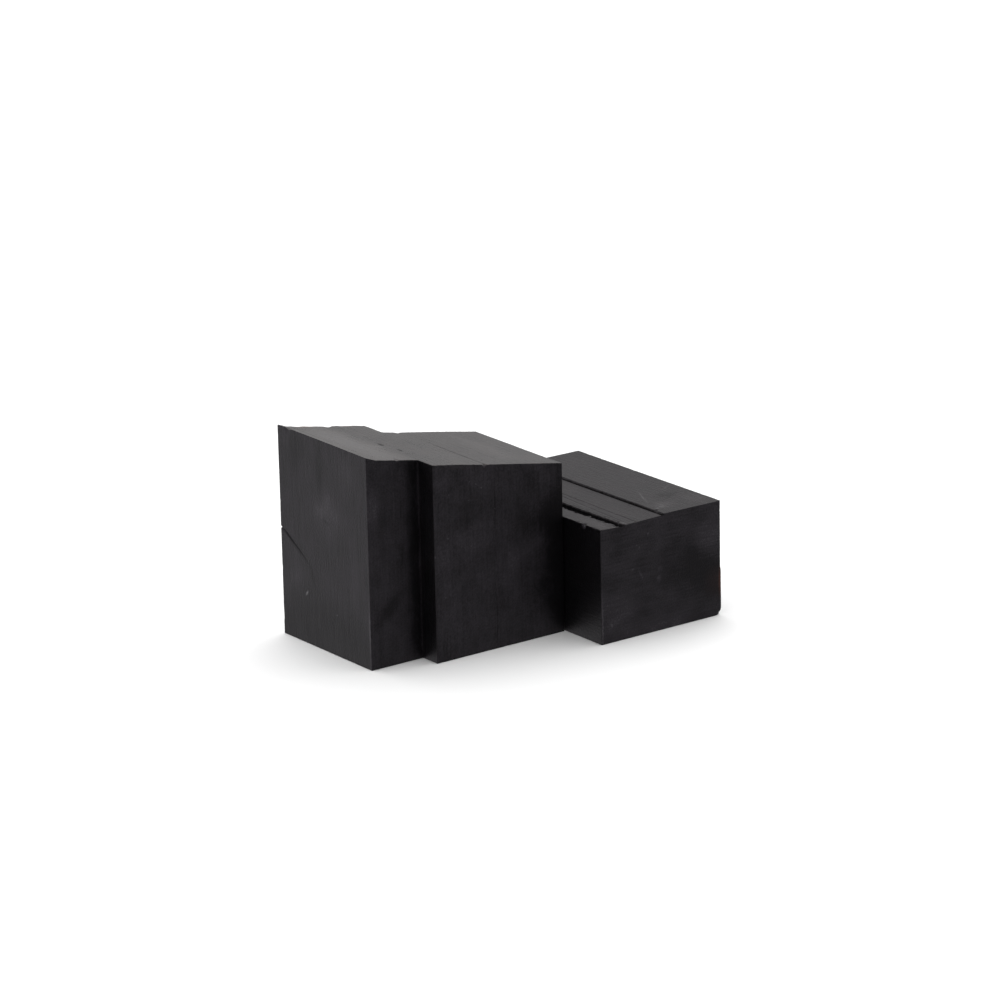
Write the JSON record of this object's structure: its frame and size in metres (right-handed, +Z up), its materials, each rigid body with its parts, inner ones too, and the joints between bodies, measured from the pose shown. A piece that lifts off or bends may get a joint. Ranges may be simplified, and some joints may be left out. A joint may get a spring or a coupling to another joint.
{
  "type": "charcoal drawing blocks",
  "caption": "Pair of chunky black drawing-carbon blocks: a tall rebated block with a sloping sawn top and a low block with a saw kerf and a step along its top.",
  "frame": {"origin": "on the table, under the middle of the bounding box of the two blocks", "axes": "+X along the row of blocks, from the upright block to the lying block; +Y from the front to the back; +Z up from the table"},
  "size_m": [0.0954, 0.0604, 0.056],
  "materials": {
    "sawn_carbon": "satin",
    "planed_carbon": "satin"
  },
  "bodies": {
    "upright": {"upright_block": "sawn_carbon"},
    "lying": {"lying_block": "planed_carbon"}
  },
  "joints": [
    {"name": "lying_block_slide", "type": "slide", "parent": "upright", "child": "lying", "axis": [1, 0, 0], "range_m": [0, 0.06]}
  ]
}
